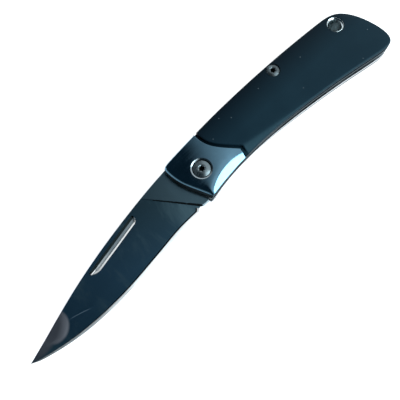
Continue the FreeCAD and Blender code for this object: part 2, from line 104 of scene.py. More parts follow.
def calc(operation, a, b=0.0, c=0.0):
    """One step of arithmetic on links and numbers."""
    return add_node("ShaderNodeMath", {0: a, 1: b, 2: c}, operation=operation)[0]


def tint(amount, first, second):
    """A colour between two, by an amount from zero to one."""
    first, second = [(*c, 1) if isinstance(c, tuple) else c for c in (first, second)]
    return add_node("ShaderNodeMix", {0: amount, 6: first, 7: second}, data_type="RGBA")[2]


def wire(source, shader, socket):
    """Link a value or a colour to one of a shader's sockets."""
    source.id_data.links.new(source, shader.inputs[socket])


def bump(shader, height, strength, distance):
    """Tilt the shading as if the surface rose by a height times a distance in millimetres."""
    sockets = {"Height": height, "Strength": strength, "Distance": distance * MM}
    wire(add_node("ShaderNodeBump", sockets)["Normal"], shader, "Normal")


def mottle(shader, cloud, colour, share):
    """Base colour that varies with a noise between a darker share of a colour and the colour itself."""
    darker = tuple(share * c for c in colour)
    wire(tint(spread(cloud, *CLOUD_SPAN), darker, colour), shader, "Base Color")


def ground_steel(name, colour, roughness, lines, turn=0.0, depth=0.004, glance=1.0):
    """Steel with fine grinding lines: noise drawn out along one direction, in roughness and bump.

    Wide clouds vary its roughness and colour. Glance is the share of a glancing reflection that is left.
    """
    finish, shader = new_finish(name, colour, 1.0, roughness, Specular_Tint=(glance, glance, glance, 1))
    place = object_place(finish, turn=(0, 0, turn), stretch=(0.03, 1, 1))
    grain = noise(place, lines, 4.0, 0.6)
    cloud = noise(object_place(finish), 130.0)
    rough = calc("ADD", spread(grain, *GRAIN_SPAN, -0.05, 0.05), roughness)
    rough = calc("ADD", spread(cloud, *GRAIN_SPAN, -0.03, 0.05), rough)
    wire(rough, shader, "Roughness")
    mottle(shader, cloud, colour, 0.82)
    bump(shader, grain, 0.25, depth)
    return finish


def added(name, data):
    """A new object of the scene, from a mesh, a lamp or a camera."""
    made = bpy.data.objects.new(name, data)
    bpy.context.scene.collection.objects.link(made)
    return made


def placed(name, mesh):
    """A mesh as a piece of the scene, shaded smooth except across edges over the sharp angle."""
    mesh.polygons.foreach_set("use_smooth", np.ones(len(mesh.polygons), bool))
    mesh.set_sharp_from_angle(angle=SHARP_ANGLE)
    return added(name, mesh)


def smooth_copy(name, node, finish):
    """A CAD plate's own mesh, its triangles merged and its curved walls shaded smooth."""
    mesh = frame["nodes"][node].data.copy()
    mesh.name = name
    merged = bmesh.new()
    merged.from_mesh(mesh)
    bmesh.ops.remove_doubles(merged, verts=merged.verts, dist=WELD)
    merged.to_mesh(mesh)
    merged.free()
    mesh.materials.clear()
    mesh.materials.append(finish)
    piece = placed(name, mesh)
    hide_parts(node)
    return piece


LINER_LINES = 900.0
# One steel on both sides: the near copy is darkened as painted shade, the far copy lightened as painted
# light
shade_painted_liner = ground_steel("shade_painted_liner_steel", (0.20, 0.235, 0.25), 0.36, LINER_LINES, glance=0.3)
light_painted_liner = ground_steel("light_painted_liner_steel", (0.62, 0.66, 0.70), 0.25, LINER_LINES)
for side, liner_steel in (("near", shade_painted_liner), ("far", light_painted_liner)):
    liner = smooth_copy(f"{side}_liner_plate", f"{side}_liner", liner_steel)
    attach(liner, "handle")

# Backspring: a hardened leaf between the liners, with its nose on the blade's tang.
# Its ground back is flush with the handle's back, and its underside closes the slot.
spring_steel = ground_steel(
    "ground_spring_steel", (0.10, 0.118, 0.128), roughness=0.34, lines=1100.0, glance=0.4
)
backspring = smooth_copy("backspring_leaf", "backspring", spring_steel)
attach(backspring, "handle")

# Barrels and hidden screws: small turned steel parts inside the handle, seen only when it is apart.
# The barrels sit in the liners, and the countersunk screws pull bolsters and scales onto them.


def dress(node, finish):
    """Give a CAD node's own mesh one finish."""
    materials = frame["nodes"][node].data.materials
    materials.clear()
    materials.append(finish)


hardware_steel = ground_steel("turned_hardware_steel", (0.50, 0.52, 0.53), roughness=0.30, lines=1500.0)
for node in (
    "pivot_barrel",
    "body_barrel",
    "near_bolster_screws",
    "far_bolster_screws",
    "near_scale_screw",
    "far_scale_screw",
):
    dress(node, hardware_steel)

# Washers: thin rings punched from rolled bronze, one on each side of the tang.
# They lie loose round the pivot barrel and keep the blade off the liners.
washer_bronze = ground_steel("rolled_washer_bronze", (0.66, 0.45, 0.24), roughness=0.32, lines=700.0)
for node in ("near_washer", "far_washer"):
    dress(node, washer_bronze)

# Blade: one piece of dark polished steel, flat ground from the spine, with a square plunge at the ricasso,
# a bright honed edge and a nail nick milled along the spine. It turns on the pivot barrel by its tang.
# Sizes are in millimetres around the pivot, with heights from the blade's middle plane.
PIVOT = np.array(frame["record"]["behaviour"]["joints"][0]["pos_m"])
BLADE_HALF = 1.0
BEVEL_WIDTH = 0.75
BEVEL_HALF = 0.25
SPINE_BREAK = 0.14
BLADE_BACK = -5.02
BLADE_POINT = -72.4
# Stations from the point to the tang, and there the spine, the edge, and shares of thickness and bevel
STATION_X = np.array([BLADE_POINT, -70.5, -66.0, -59.0, -50.0, -40.0, -28.0, -16.0, BLADE_BACK])
STATION_SPINE = np.array([-7.8, -7.2, -5.75, -3.35, -0.45, 2.25, 4.89, 7.04, 8.49])
STATION_EDGE = np.array([-7.95, -8.85, -10.15, -11.45, -12.1, -11.8, -10.45, -8.95, -8.35])
STATION_THICK = np.array([0.08, 0.2, 0.46, 0.76, 0.92, 0.98, 0.98, 0.98, 0.98])
STATION_BEVEL = np.array([0.08, 0.45, 0.7, 0.9, 1.0, 1.0, 1.0, 1.0, 0.45])
HEEL_Y = -7.9
EDGE_HEEL = -8.2
CHOIL_CENTRE = (-7.73, -9.05)
CHOIL_RADIUS = 1.55
PLUNGE_TOP = (-19.1, 6.4)
PLUNGE_FOOT = (-6.7, HEEL_Y)
PLUNGE_RUN = np.array(PLUNGE_FOOT) - np.array(PLUNGE_TOP)
PLUNGE_WIDTH = 0.2
PLUNGE_GAIN = 1.5
SQUARE_FROM = -24.0
NICK_FROM = (-44.9, -0.02)
NICK_TO = (-24.4, 4.46)
NICK_WALL = 0.68
NICK_WIDTH = 2.3
NICK_MARGIN = 0.15
NICK_CHANGE = (0.1, 0.5)
NICK_DEPTH = (0.68, 0.56)
NICK_TILT = np.radians([29, 32])
NICK_RAMP = np.tan(np.radians(17))
NICK_ENDS = (0.17, 0.06)
NICK_HIGH = 0.15
OFF_NICK = 1.6
LEAST_CUT = 0.005
NICK_ROW = 1 + NICK_WALL / (NICK_WIDTH + NICK_MARGIN)
TANG_TOP = 5.0


def through(x, knots, values):
    """Smooth curve through points: cubic Hermite pieces, each slope taken from the two neighbours."""
    slope = np.gradient(values, knots)
    piece = np.clip(np.searchsorted(knots, x) - 1, 0, len(knots) - 2)
    width = knots[piece + 1] - knots[piece]
    t = (x - knots[piece]) / width
    rise = values[piece] * (1 + 2 * t) * (1 - t) ** 2 + values[piece + 1] * t**2 * (3 - 2 * t)
    return rise + width * (slope[piece] * t * (1 - t) ** 2 + slope[piece + 1] * t**2 * (t - 1))


def rounded(distance, reach, drop):
    """How far a rounded edge falls at a distance inside it: a quarter ellipse of that reach and drop."""
    left = np.clip(1 - distance / reach, 0, 1)
    return drop * (1 - np.sqrt(1 - left**2))


def make_piece(name, patches, finishes, far=False):
    """Weld surface patches, in millimetres around the pivot, into one closed mesh facing outwards.

    A patch is a grid of points, with a mark for each of its quads: the finish it takes, or -1 for none.
    On the far side the heights change their sign.
    """
    points, quads, marks, count = [], [], [], 0
    for grid, mark in patches:
        rows, columns = grid.shape[:2]
        number = count + np.arange(rows * columns).reshape(rows, columns)
        corners = np.stack([number[:-1, :-1], number[1:, :-1], number[1:, 1:], number[:-1, 1:]], axis=-1)
        chosen = np.broadcast_to(mark, corners.shape[:2])
        points.append(grid.reshape(-1, 3) * [1, 1, -1 if far else 1])
        quads.append(corners[chosen >= 0])
        marks.append(chosen[chosen >= 0])
        count += rows * columns
    mesh = bpy.data.meshes.new(name)
    mesh.from_pydata(PIVOT + MM * np.concatenate(points), [], np.concatenate(quads))
    for finish in finishes:
        mesh.materials.append(finish)
    mesh.polygons.foreach_set("material_index", np.concatenate(marks).astype(np.int32))
    welded = bmesh.new()
    welded.from_mesh(mesh)
    bmesh.ops.remove_doubles(welded, verts=welded.verts, dist=WELD)
    bmesh.ops.dissolve_degenerate(welded, edges=welded.edges, dist=WELD)
    loose = [vertex for vertex in welded.verts if not vertex.link_faces]
    bmesh.ops.delete(welded, geom=loose, context="VERTS")
    bmesh.ops.recalc_face_normals(welded, faces=welded.faces)
    welded.to_mesh(mesh)
    welded.free()
    return placed(name, mesh)


def at_height(plan, height):
    """Plan points with a height, one number or one for each point."""
    return np.concatenate([plan, np.broadcast_to(height, plan.shape[:-1])[..., None]], axis=-1)


def wall(upper, lower):
    """A strip ruled between two lines of points."""
    return np.stack([upper, lower], axis=1)


def quad_mean(values):
    """Mean of a grid's values at the four corners of each quad."""
    return (values[:-1, :-1] + values[1:, 1:] + values[:-1, 1:] + values[1:, :-1]) / 4


def blade_spine(x):
    """Height of the spine in plan: the curve through its stations."""
    return through(x, STATION_X, STATION_SPINE)


def blade_lower(x):
    """Lower border of the blade: the edge, the round choil at its heel, and the flat kick."""
    base = np.where(x > PLUNGE_FOOT[0], HEEL_Y, through(x, STATION_X, STATION_EDGE))
    arc = CHOIL_RADIUS**2 - (x - CHOIL_CENTRE[0]) ** 2
    return np.where(arc > 0, np.maximum(base, CHOIL_CENTRE[1] + np.sqrt(np.maximum(arc, 0))), base)


def plunge_rise(plan):
    """How far the plunge's wall has risen: zero on the ground face, one on the ricasso, straight between.

    The wall gets wider from the spine to the foot.
    """
    across = (plan - PLUNGE_TOP) @ [-PLUNGE_RUN[1], PLUNGE_RUN[0]] / np.hypot(*PLUNGE_RUN)
    share = np.clip((plan - PLUNGE_TOP) @ PLUNGE_RUN / (PLUNGE_RUN @ PLUNGE_RUN), 0, 1)
    return np.clip(across / (PLUNGE_WIDTH * (1 + PLUNGE_GAIN * share)) + 1, 0, 1)


def blade_height(plan):
    """Half thickness: a straight fall from spine to shoulder and on to the edge, full behind the plunge."""
    x, y = plan[..., 0], plan[..., 1]
    spine, edge = blade_spine(x), through(x, STATION_X, STATION_EDGE)
    thick = BLADE_HALF * through(x, STATION_X, STATION_THICK)
    bevel = through(x, STATION_X, STATION_BEVEL)
    shoulder = edge + BEVEL_WIDTH * bevel
    face = BEVEL_HALF * bevel + (thick - BEVEL_HALF * bevel) * (y - shoulder) / (spine - shoulder)
    honed = BEVEL_HALF * bevel * np.clip((y - edge) / (shoulder - edge), 0, 1)
    ground = np.where(y < shoulder, honed, face)
    full = ground + (BLADE_HALF - ground) * plunge_rise(plan)
    return full - rounded(spine - y, SPINE_BREAK, SPINE_BREAK)


def nick_line(x):
    """The nick's upper rim: a straight line between its ends."""
    return np.interp(x, [NICK_FROM[0], NICK_TO[0]], [NICK_FROM[1], NICK_TO[1]])


def nick_depth(plan):
    """A milled groove: a steep bevel towards the spine, a flat floor, a straight slope to the lower rim.

    It narrows along a quarter ellipse to both ends. Towards the tip the floor is deeper and the slope less
    steep, and the floor runs out on a straight ramp.
    """
    x, y = plan[..., 0], plan[..., 1]
    share = np.clip((x - NICK_FROM[0]) / (NICK_TO[0] - NICK_FROM[0]), 0, 1)
    long_end = np.clip(1 - share / NICK_ENDS[0], 0, 1)
    short_end = np.clip(1 - (1 - share) / NICK_ENDS[1], 0, 1)
    ends = np.sqrt((1 - long_end**2) * (1 - short_end**2))
    below = nick_line(x) - y
    steep = np.clip(below / (NICK_WALL * np.maximum(ends, MM)), 0, 1)
    to_rim = np.clip(NICK_WIDTH * ends - below, 0, (NICK_WIDTH - NICK_WALL) * ends)
    slope = np.tan(np.interp(share, NICK_CHANGE, NICK_TILT))
    ramp = NICK_RAMP * np.maximum(x - NICK_FROM[0], 0)
    floor = np.minimum(np.interp(share, NICK_CHANGE, NICK_DEPTH), ramp)
    return steep * np.minimum(floor, slope * to_rim)


# Lines across the blade: 0 is at the tang, 1 at the plunge, 2 where they stand square and 3 at the point.
# Up to 2 they lean with the plunge, and they crowd together at 1, 2 and 3
lean = np.concatenate(
    [
        np.linspace(0, 0.98, 26),
        [0.99],
        np.linspace(1, 1.07, 15),
        np.linspace(1.1, 2, 22)[:-1],
        np.linspace(2, 2.06, 16)[:-1],
        np.linspace(2.06, 2.94, 170),
        np.linspace(2.94, 3, 14)[1:],
    ]
)
spine_x = np.interp(lean, range(4), [BLADE_BACK, PLUNGE_TOP[0], SQUARE_FROM, BLADE_POINT])
lower_x = np.interp(lean, range(4), [BLADE_BACK, PLUNGE_FOOT[0], SQUARE_FROM, BLADE_POINT])
top_end = np.stack([spine_x, blade_spine(spine_x)], axis=-1)
low_end = np.stack([lower_x, blade_lower(lower_x)], axis=-1)
height = top_end[:, 1] - low_end[:, 1]
nick_at = spine_x + (lower_x - spine_x) * NICK_HIGH
by_nick = (nick_at > NICK_FROM[0]) & (nick_at < NICK_TO[0])
to_nick = np.where(by_nick, blade_spine(nick_at) - nick_line(nick_at), OFF_NICK)
nick_top = np.minimum(to_nick / height, 0.25)
nick_low = np.minimum((to_nick + NICK_WIDTH + NICK_MARGIN) / height, 0.5)
nick_low[0] = (top_end[0, 1] - TANG_TOP) / height[0]
shoulder = np.maximum(1 - BEVEL_WIDTH * through(lower_x, STATION_X, STATION_BEVEL) / height, 0.6)
guides = np.stack([np.zeros_like(height), nick_top, nick_low, shoulder, np.ones_like(height)])
# Rows from spine to edge, numbered by the guides: 1 and 2 bound the nick, 3 is the bevel's shoulder
rows = np.concatenate(
    [
        [0, 0.02, 0.05, 0.09, 0.2, 0.5, 0.8, 0.98, 1.0, (1 + NICK_ROW) / 2, NICK_ROW],
        np.linspace(NICK_ROW + 0.04, 1.72, 9),
        np.linspace(1.75, 1.95, 9),
        [2],
        np.linspace(2, 3, 28)[1:],
        np.linspace(3, 4, 5)[1:],
    ]
)
lower_guide = np.clip(rows.astype(int), 0, 3)
part = rows - lower_guide
fractions = guides[lower_guide] * (1 - part)[:, None] + guides[lower_guide + 1] * part[:, None]
blade_plan = top_end[:, None] + fractions.T[..., None] * (low_end - top_end)[:, None]
blade_half = blade_height(blade_plan)
nick_cut = nick_depth(blade_plan)
blade_near = at_height(blade_plan, blade_half - nick_cut)
blade_far = at_height(blade_plan, -blade_half)
# The last finish is painted shade: near-black steel on the plunge's wall, the line above the bevel and the
# nick's upper wall
FACE, HONED, MILLED, PAINTED_SHADE = 0, 1, 2, 3
cut_quads = quad_mean(nick_cut) > LEAST_CUT
has_edge = (lower_x[:-1] < EDGE_HEEL)[:, None]
on_bevel = (rows[:-1] >= 3)[None] & has_edge
risen = quad_mean(plunge_rise(blade_plan))
in_plunge = (risen > 0.02) & (risen < 0.98) & (rows[:-1] >= 1.5)[None]
above_bevel = ((rows[:-1] > 2.96) & (rows[:-1] < 3))[None] & has_edge
far_marks = np.where(in_plunge | above_bevel, PAINTED_SHADE, np.where(on_bevel, HONED, FACE))
in_wall = ((rows[:-1] > 0.97) & (rows[:-1] < NICK_ROW - 0.01))[None]
near_marks = np.where(cut_quads, np.where(in_wall, PAINTED_SHADE, MILLED), far_marks)

# The tang: plan of the hidden end, with its open and closed flats, around the pivot's bore
TANG_CORNERS = np.array([(-4.6, HEEL_Y), (-3.36, -5.806), (5.0, -4.03), (5.0, 5.0), (BLADE_BACK, TANG_TOP)])
TANG_ROUNDS = (0, 0, 3.5, 3.5, 0)
TANG_BORE = 2.52
TANG_RINGS = 6
SHADE_FROM = -6.9


def rounded_corners(corners, radii, steps=12):
    """A path through corners, each rounded by an arc that starts and ends at its tangent length."""
    before, after = np.roll(corners, 1, axis=0), np.roll(corners, -1, axis=0)
    path = []
    for corner, radius, last, following in zip(corners, radii, before, after):
        if radius == 0:
            path.append(corner[None])
            continue
        to_last = (last - corner) / np.linalg.norm(last - corner)
        to_next = (following - corner) / np.linalg.norm(following - corner)
        half = np.arccos(np.clip(to_last @ to_next, -1, 1)) / 2
        inwards = (to_last + to_next) / np.linalg.norm(to_last + to_next)
        centre = corner + inwards * radius / np.sin(half)
        first = corner + to_last * radius / np.tan(half) - centre
        final = corner + to_next * radius / np.tan(half) - centre
        start = np.arctan2(first[1], first[0])
        sweep = (np.arctan2(final[1], final[0]) - start + np.pi) % (2 * np.pi) - np.pi
        angle = start + sweep * np.linspace(0, 1, steps)
        path.append(centre + radius * np.stack([np.cos(angle), np.sin(angle)], axis=-1))
    return np.concatenate(path)


def along_line(line, shares):
    """Points on a run of straight pieces, at shares of its length."""
    reach = np.concatenate([[0], np.cumsum(np.linalg.norm(np.diff(line, axis=0), axis=1))])
    return np.stack([np.interp(shares, reach / reach[-1], line[:, k]) for k in (0, 1)], axis=-1)


tang_row = int(np.flatnonzero(rows == 2)[0])
tang_side = blade_plan[0, tang_row:]
tang_back = rounded_corners(TANG_CORNERS, TANG_ROUNDS)
tang_loop = np.concatenate([tang_side, tang_back])
to_bore = tang_loop * (TANG_BORE / np.linalg.norm(tang_loop, axis=1))[:, None]
tang_plan = tang_loop + np.linspace(0, 1, TANG_RINGS)[:, None, None] * (to_bore - tang_loop)
tang_edge = np.concatenate([tang_side[-1:], tang_back])
# Painted shade on the blade's lower wall, from the choil to the point
low_marks = np.where(lower_x[:-1] < SHADE_FROM, PAINTED_SHADE, FACE)
blade_patches = [
    (blade_near, near_marks),
    (blade_far, far_marks),
    (wall(blade_near[:, 0], blade_far[:, 0]), FACE),
    (wall(blade_near[:, -1], blade_far[:, -1]), low_marks[:, None]),
    (wall(blade_near[-1], blade_far[-1]), FACE),
    (wall(blade_near[0, : tang_row + 1], blade_far[0, : tang_row + 1]), FACE),
    (at_height(tang_plan, BLADE_HALF), FACE),
    (at_height(tang_plan, -BLADE_HALF), FACE),
]
for line in (tang_edge, to_bore):
    blade_patches.append((wall(at_height(line, BLADE_HALF), at_height(line, -BLADE_HALF)), FACE))

# Painted reflection on the blade: a greyish disc, its paler rim and a strip that runs on to the point, each
# round its own centre
REFLECTION_AT = (-62.1, -4.1)
REFLECTION_REACH = (4.6, 5.3)
REFLECTION_RIM_FROM = (-66.2, 1.0)
REFLECTION_RIM_REACH = (8.6, 11.0)
REFLECTION_STRIP_FROM = (-68.5, 5.0)
REFLECTION_STRIP_REACH = (13.2, 14.2)
SCRATCH_WIDTH = (0.02, 0.08)


def pivot_place(finish, plan, **more):
    """Object coordinates, centred on a plan point in millimetres around the pivot."""
    return object_place(finish, centre=tuple(PIVOT + MM * np.array([*plan, 0])), **more)


def measured(place, axis):
    """How far a place lies along an axis: the dot product of the two."""
    sockets = {0: place, 1: tuple(axis)}
    return add_node("ShaderNodeVectorMath", sockets, operation="DOT_PRODUCT")["Value"]


def polished_blade_steel():
    """Dark polish: clouds and wipe marks in colour and roughness, a painted reflection near the tip and two
    scratches.
    """
    colour = (0.088, 0.215, 0.340)
    darker_by_plunge = (0.068, 0.142, 0.190)
    cloudy = (0.17, 0.295, 0.355)
    unground = (0.158, 0.268, 0.33)
    # Colours of the painted reflection near the tip and of its paler rim
    worn = (0.33, 0.33, 0.385)
    pale = (0.84, 0.84, 0.92)
    scored = (0.60, 0.70, 0.76)
    finish, shader = new_finish("polished_blade_steel", colour, 1.0, 0.2)

    def distance_to(centre):
        """Distance in plan from a point, and the place as seen from it."""
        place = pivot_place(finish, centre, stretch=(1, 1, 0))
        return add_node("ShaderNodeVectorMath", {0: place}, operation="LENGTH")["Value"], place

    def within(centre, reach, inner, outer):
        """A value that goes from inner to outer between two distances from a point."""
        return spread(distance_to(centre)[0], reach[0] * MM, reach[1] * MM, inner, outer)

    def scratch(centre, radius, start, end):
        """A thin piece of a large circle, between two places along it, fainter to its ends."""
        ring, place = distance_to(centre)
        off = calc("ABSOLUTE", calc("SUBTRACT", ring, radius * MM))
        sideways = add_node("ShaderNodeSeparateXYZ", {0: place})[0]
        middle, half = (start + end) / 2 - centre[0], (end - start) / 2
        from_middle = calc("ABSOLUTE", calc("SUBTRACT", sideways, middle * MM))
        kept = spread(from_middle, 0.5 * half * MM, half * MM, 1, 0)
        line = spread(off, SCRATCH_WIDTH[0] * MM, SCRATCH_WIDTH[1] * MM, 1, 0)
        return calc("MULTIPLY", line, kept)

    place = object_place(finish, turn=(0, 0, 0.6), stretch=(1, 0.35, 1))
    cloud = spread(noise(place, 150.0, 5.0, 0.65, 0.5), 0.45, 0.75)
    fine = noise(object_place(finish, turn=(0, 0, 1.35), stretch=(0.04, 1, 1)), 1400.0)
    # Darker towards the plunge, and behind it the ricasso keeps the bar's greyer finish
    square = np.array([-PLUNGE_RUN[1], PLUNGE_RUN[0], 0]) / np.hypot(*PLUNGE_RUN)
    behind = measured(pivot_place(finish, PLUNGE_TOP), square)
    # The painted reflection is palest towards its round border, and runs on to the point along the spine
    # Masks of the painted reflection, its paler rim and its strip to the point
    inside = within(REFLECTION_AT, REFLECTION_REACH, 1, 0)
    rim = calc("MULTIPLY", inside, within(REFLECTION_RIM_FROM, REFLECTION_RIM_REACH, 0, 0.5))
    inside = calc("MAXIMUM", inside, within(REFLECTION_STRIP_FROM, REFLECTION_STRIP_REACH, 0.9, 0))
    long_scratch = scratch(centre=(-63.2, -39.6), radius=34.0, start=-57.6, end=-50.4)
    short_scratch = scratch(centre=(-69.5, -26.5), radius=19.5, start=-67.0, end=-62.2)
    scored_at = calc("MAXIMUM", long_scratch, calc("MULTIPLY", short_scratch, 0.4))
    shade = tint(spread(behind, -22 * MM, -2 * MM), colour, darker_by_plunge)
    shade = tint(cloud, shade, cloudy)
    shade = tint(spread(behind, -0.1 * MM, 0.1 * MM), shade, unground)
    shade = tint(inside, shade, worn)
    shade = tint(rim, shade, pale)
    shade = tint(calc("MULTIPLY", scored_at, 0.45), shade, scored)
    wire(shade, shader, "Base Color")
    rough = spread(fine, *GRAIN_SPAN, 0.275, 0.29)
    for amount, added in ((cloud, 0.05), (scored_at, 0.3), (inside, 0.04), (rim, 0.14)):
        rough = calc("MULTIPLY_ADD", amount, added, rough)
    wire(rough, shader, "Roughness")
    bump(shader, fine, 0.02, 0.002)
    return finish


def milled_nick_steel():
    """Milled steel: matte, and painted grey as shade, on the floor under the upper bevel; near white
    towards the lower rim and the tip's end.
    """
    floor_shade_colour, clean = (0.30, 0.35, 0.38), (0.98, 0.99, 0.99)
    metallic, roughness = 0.95, 0.14
    finish, shader = new_finish("milled_nick_steel", clean, metallic, roughness)
    run = np.array([*NICK_TO, 0]) - np.array([*NICK_FROM, 0])
    length = np.linalg.norm(run)
    place = pivot_place(finish, NICK_FROM)
    share = measured(place, run / (length**2 * MM))
    below = measured(place, np.array([run[1], -run[0], 0]) / length)
    lines = noise(object_place(finish, turn=(0, 0, -0.22), stretch=(0.04, 1, 1)), 1500.0)
    below = calc("MULTIPLY_ADD", lines, 0.3 * MM, below)
    flat = spread(below, 1.6 * MM, 1.85 * MM, 1, 0)
    # Painted shade: the floor under the upper bevel is greyed, fading out towards the tip's end
    floor_shade = calc("MULTIPLY", flat, spread(share, 0.08, 0.45))
    matte = calc("MULTIPLY", flat, spread(share, 0.08, 0.12))
    wire(tint(floor_shade, clean, floor_shade_colour), shader, "Base Color")
    wire(calc("MULTIPLY_ADD", matte, 0.3, roughness), shader, "Roughness")
    wire(calc("MULTIPLY_ADD", matte, -0.5, metallic), shader, "Metallic")
    return finish


honed_steel = ground_steel("honed_edge_steel", (0.97, 0.98, 0.98), roughness=0.30, lines=2600.0, turn=1.45)
# Near-black steel that paints shade, on the blade and in the screws' sockets
shade_painted_steel = ground_steel(
    "shade_painted_nick_steel", (0.008, 0.012, 0.014), roughness=0.5, lines=2200.0, turn=-0.23, glance=0.2
)
blade_finishes = [polished_blade_steel(), honed_steel, milled_nick_steel(), shade_painted_steel]
blade = make_piece("blade_leaf", blade_patches, blade_finishes)
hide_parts("blade")
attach(blade, "blade")

# Bolsters: satin steel caps on both sides of the pivot, slightly crowned, with a bright facet ground along
# the belly and a softened front edge. Two screws from inside the liners hold each one.
# Poles of the outline: from the belly's front end up the front, along the back and round the butt
HANDLE_POLES = np.array(
    [
        (-3.90, -8.50), (-5.48, -5.00), (-7.70, -0.56), (-8.43, 3.41), (-8.49, 7.80), (-7.29, 8.42),
        (-1.95, 8.85), (11.98, 10.25), (30.03, 11.02), (48.00, 11.04), (62.05, 10.47), (69.89, 10.11),
        (74.27, 4.79), (76.42, -1.77), (77.18, -8.16), (75.42, -11.36), (70.27, -11.19), (57.91, -9.04),
        (40.09, -6.96), (19.81, -5.52), (5.22, -6.55), (-2.00, -8.15),
    ]
)
JOINT_POLES = np.array([(6.2, 12.1), (5.56, 8.2), (6.0, 3.6), (10.48, -0.6), (13.2, -3.3)])
JOINT_FOOT = (11.6, -13.2)
CHEEK_TOP = 3.97
CHEEK_BOTTOM = 1.97
BOLSTER_FACET_CENTRE = (8.78, -24.37)
BOLSTER_FACET_RADIUS = 20.7
BOLSTER_FACET_SLOPE = np.tan(np.radians(28))
FACET_SOFTNESS = 0.4
BOLSTER_CROWN = 1 / 250
CROWN_AT = (1.0, 1.0)
FRONT_REACH = [0.8, 0.5]
FRONT_SLOPE = 1.0
FRONT_BEVEL = [0.75, 0.65, 0.15]
FRONT_FALL = 1.6
FRONT_SOFTNESS = 0.6
BEVEL_SOFTNESS = 0.05
BEVEL_LINES = 12
BACK_ROUND = 0.4
JOINT_ROUND = 0.15
BELLY_ROUND = 0.1
LEAST_WALL = 0.05
BOLSTER_LINES = (160, 140)
CROWDING = 0.85
OUTLINE_POINTS = 3000
FRONT_POINTS = 900
CURVE_POINTS = 200
AT_ONCE = 2000
THINNED = 12
RING_SHARES = np.array([0, 0.35, 0.7, 0.9, 1.0])[:, None, None]
RIM_DEPTH = 0.5
PIVOT_RECESS = [(3.38, 0), (2.96, 0.22), (2.95, 1.25)]
PIVOT_BLOCK = 4.4
PIVOT_SHANK = 1.22


def spline(poles, count):
    """Clamped cubic B-spline: poles weighted by the basis that De Boor's recursion gives."""
    degree = 3
    inner = np.linspace(0, 1, len(poles) - degree + 1)
    knots = np.concatenate([np.zeros(degree), inner, np.ones(degree)])
    t = np.minimum(np.linspace(0, 1, count), 1 - 1e-9)[:, None]
    basis = ((knots[:-1] <= t) & (t < knots[1:])).astype(float)
    for d in range(1, degree + 1):
        rise = np.maximum(knots[d:-1] - knots[: -d - 1], 1e-12)
        fall = np.maximum(knots[d + 1 :] - knots[1:-d], 1e-12)
        basis = (t - knots[: -d - 1]) / rise * basis[:, :-1] + (knots[d + 1 :] - t) / fall * basis[:, 1:]
    return basis @ poles


def crowded(count, amount, ends=2):
    """Shares from 0 to 1, less a sine, so that they lie closer together towards both ends or the first."""
    t = np.linspace(0, 1, count)
    return t - amount * np.sin(ends * np.pi * t) / (ends * np.pi)


def filled(bottom, top, left, right, across, along):
    """Grid between four border lines: Coons' sum of both rulings less the ruling of the corners."""
    u, v = along[:, None, None], across[None, :, None]
    corners = (1 - u) * ((1 - v) * bottom[0] + v * top[0]) + u * ((1 - v) * bottom[-1] + v * top[-1])
    return (1 - v) * bottom[:, None] + v * top[:, None] + (1 - u) * left[None] + u * right[None] - corners


def gap_to(plan, line):
    """Least distance from plan points to a run of straight pieces, and the share along it."""
    flat = plan.reshape(-1, 2)
    start, step = line[:-1], np.diff(line, axis=0)
    best, where = [], []
    for few in np.array_split(flat, 1 + len(flat) // AT_ONCE):
        to = few[:, None] - start
        share = np.clip((to * step).sum(-1) / (step**2).sum(-1), 0, 1)
        far = np.linalg.norm(to - share[..., None] * step, axis=-1)
        nearest = far.argmin(axis=1)
        best.append(far[np.arange(len(few)), nearest])
        where.append((nearest + share[np.arange(len(few)), nearest]) / len(step))
    shape = plan.shape[:-1]
    return np.concatenate(best).reshape(shape), np.concatenate(where).reshape(shape)


def redivided(plan, lines, reach):
    """A grid whose first lines are moved along the crossing ones, to lie within a reach of the border."""
    step = np.linalg.norm(np.diff(plan, axis=0), axis=-1)
    old = np.concatenate([np.zeros((1, plan.shape[1])), np.cumsum(step, axis=0)])
    share = (old - old[lines]) / (old[-1] - old[lines])
    new = np.where(share > 0, reach + share * (old[-1] - reach), reach * old / old[lines])
    columns = range(plan.shape[1])
    moved = [[np.interp(new[:, k], old[:, k], plan[:, k, axis]) for k in columns] for axis in (0, 1)]
    return np.stack(moved, axis=-1).swapaxes(0, 1)


def lower_of(a, b, softness):
    """The lower of two heights, with a small rounding where they cross."""
    return (a + b - np.sqrt((a - b) ** 2 + softness**2)) / 2


handle_line = spline(HANDLE_POLES, OUTLINE_POINTS)
joint_line = np.concatenate([spline(JOINT_POLES, CURVE_POINTS), [JOINT_FOOT]])


def joint_x(y):
    """The joint's place along the handle at a height in plan."""
    return np.interp(-y, -joint_line[:, 1], joint_line[:, 0])


def joint_crossings(gap):
    """Where the joint, moved by a gap, crosses the handle's outline at its back and its belly."""
    behind = handle_line[:, 0] - joint_x(handle_line[:, 1]) - gap
    back, belly = np.flatnonzero(np.diff(np.sign(behind)))[[0, -1]]
    return int(back), int(belly)


def joint_part(gap, from_y, to_y):
    """The joint between two heights, upwards, as plan points."""
    y = np.concatenate([joint_line[:, 1], [from_y, to_y]])
    y = np.unique(y[(y >= from_y) & (y <= to_y)])
    return np.stack([joint_x(y) + gap, y], axis=-1)


def ring_of(border, centre, radius):
    """Circle whose points lie on the same spokes as a border's points."""
    spoke = border - centre
    return centre + spoke * (radius / np.linalg.norm(spoke, axis=-1))[..., None]


